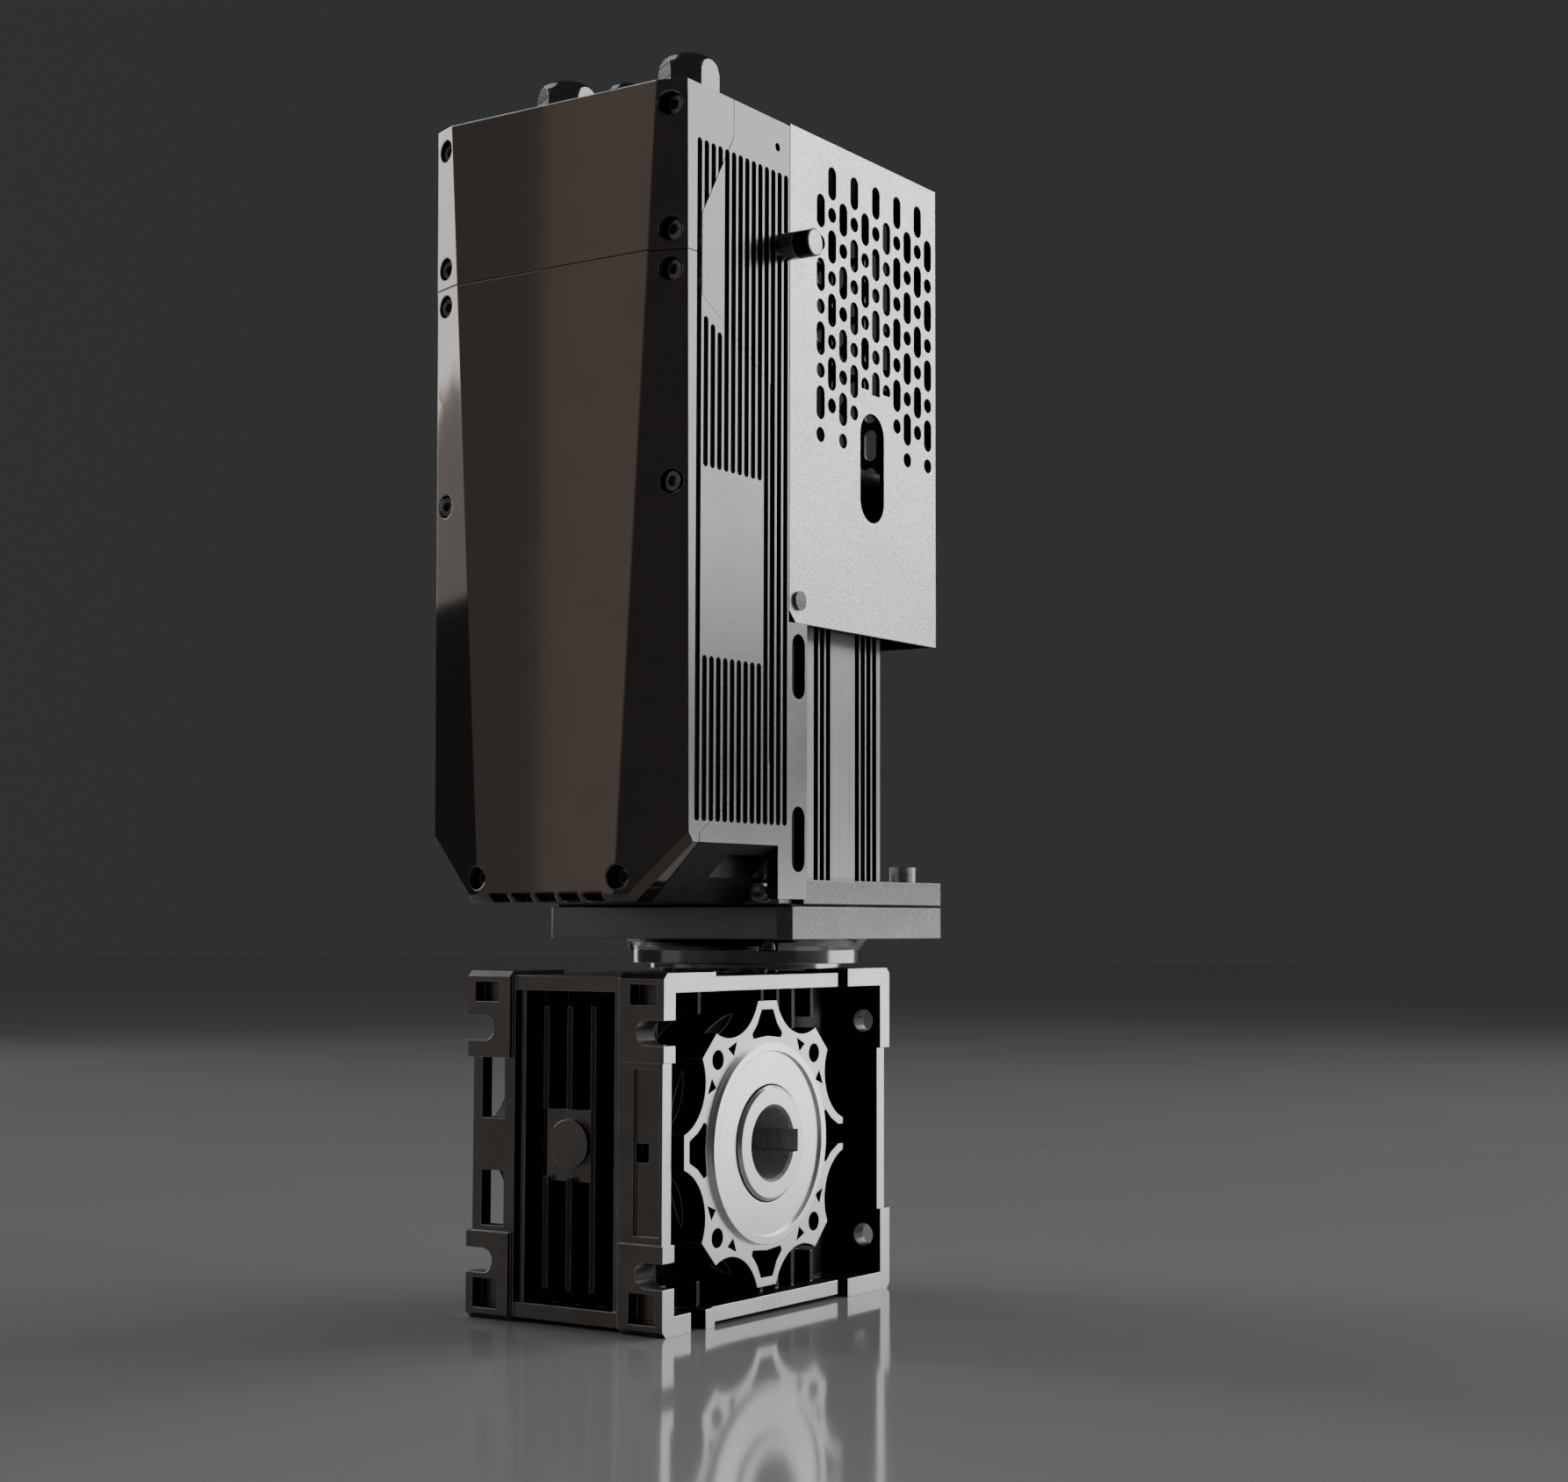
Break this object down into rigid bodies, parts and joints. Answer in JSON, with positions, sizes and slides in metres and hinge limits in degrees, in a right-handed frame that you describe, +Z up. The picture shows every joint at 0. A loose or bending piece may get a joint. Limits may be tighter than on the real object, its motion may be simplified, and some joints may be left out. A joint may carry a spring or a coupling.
{
  "type": "integrated servo motor with worm gearbox",
  "caption": "Upright servo motor with built-on drive housing and perforated rear cover, standing on a worm gearbox with a hollow keyed output shaft.",
  "frame": {"origin": "centre of the gearbox's hollow output bore", "axes": "+X along the output bore towards the open star boss, +Z up along the motor, -Y towards the front covers"},
  "size_m": [0.1255, 0.175, 0.4436],
  "materials": {
    "cast_aluminium": "fine shot-blasted die casting",
    "machined_aluminium": "machined plate, satin",
    "extruded_aluminium": "drawn profile, satin",
    "satin_grey_paint": "satin light grey",
    "front_cover_black": "semi-gloss black",
    "perforated_sheet": "bead-blasted sheet",
    "bore_steel": "turned and bored",
    "steel": "ground",
    "black_steel": "blackened",
    "bearing_steel": "polished rings with steel shields",
    "zinc_screw": "zinc plated",
    "nickel_brass": "nickel-plated brass",
    "spring_steel": "drawn wire",
    "bronze": "cast bronze, cut teeth",
    "copper_winding": "varnished copper wire",
    "lamination": "stacked electrical sheet",
    "magnet": "nickel-coated magnet",
    "friction": "brake lining",
    "seal_rubber": "nitrile rubber",
    "black_plastic": "moulded, fine texture",
    "green_plastic": "moulded terminal body",
    "circuit_board": "solder mask",
    "capacitor_sleeve": "shrink sleeve",
    "encoder_glass": "coded disc"
  },
  "bodies": {
    "housing": {"gearbox_housing": "cast_aluminium", "side_cover": "cast_aluminium", "side_cover_screws": "zinc_screw", "output_bearing_outer_rings": "bearing_steel", "worm_bearing_outer_rings": "bearing_steel", "output_oil_seals": "seal_rubber", "input_oil_seal": "seal_rubber", "worm_end_cap": "black_plastic", "input_neck": "cast_aluminium", "neck_screws": "zinc_screw", "adapter_plate": "machined_aluminium", "flange_gasket": "seal_rubber", "motor_flange": "machined_aluminium", "flange_screws": "zinc_screw", "motor_frame": "extruded_aluminium", "rear_end_bell": "machined_aluminium", "end_bell_screws": "zinc_screw", "stator_core": "lamination", "stator_windings": "copper_winding", "motor_bearing_outer_rings": "bearing_steel", "brake_body": "black_steel", "encoder_board": "circuit_board", "encoder_cap": "black_plastic", "drive_housing": "satin_grey_paint", "upper_front_cover": "front_cover_black", "lower_front_cover": "front_cover_black", "front_cover_screws": "zinc_screw", "top_plate": "satin_grey_paint", "large_gland_bodies": "nickel_brass", "large_gland_nuts": "nickel_brass", "small_gland_body": "nickel_brass", "small_gland_nut": "nickel_brass", "rear_perforated_cover": "perforated_sheet", "rear_cover_screws": "zinc_screw", "plunger_collar": "steel", "plunger_spring": "spring_steel", "earth_screw": "zinc_screw", "heat_spreader": "machined_aluminium", "power_board": "circuit_board", "power_module": "black_plastic", "dc_link_capacitors": "capacitor_sleeve", "control_board": "circuit_board", "board_spacers": "nickel_brass", "terminal_block": "green_plastic", "braking_resistor": "extruded_aluminium"},
    "rotor": {"motor_shaft": "steel", "shaft_key": "steel", "rotor_core": "lamination", "rotor_magnets": "magnet", "motor_bearing_inner_rings": "bearing_steel", "worm_shaft": "steel", "worm_bearing_inner_rings": "bearing_steel", "brake_friction_disc": "friction", "encoder_disc": "encoder_glass"},
    "output": {"hollow_output_shaft": "bore_steel", "worm_wheel_rim": "bronze", "output_bearing_inner_rings": "bearing_steel"},
    "knob": {"release_knob": "black_steel", "release_pin": "steel"},
    "armature": {"brake_armature": "steel"}
  },
  "joints": [
    {"name": "rotor_spin", "type": "hinge", "parent": "housing", "child": "rotor", "pos_m": [0, 0.05, 0], "axis": [0, 0, 1], "continuous": true},
    {"name": "output_spin", "type": "hinge", "parent": "housing", "child": "output", "pos_m": [0, 0, 0], "axis": [1, 0, 0], "continuous": true},
    {"name": "plunger_pull", "type": "slide", "parent": "housing", "child": "knob", "axis": [1, 0, 0], "range_m": [0, 0.006], "stiffness_N_per_m": 900, "springref_m": -0.004, "deforming": ["plunger_spring"]},
    {"name": "brake_lift", "type": "slide", "parent": "housing", "child": "armature", "axis": [0, 0, 1], "range_m": [0, 0.0003], "stiffness_N_per_m": 20000, "springref_m": -0.001}
  ],
  "couplings": [
    {"joint": "output_spin", "follows": "rotor_spin", "ratio": -0.033333}
  ]
}
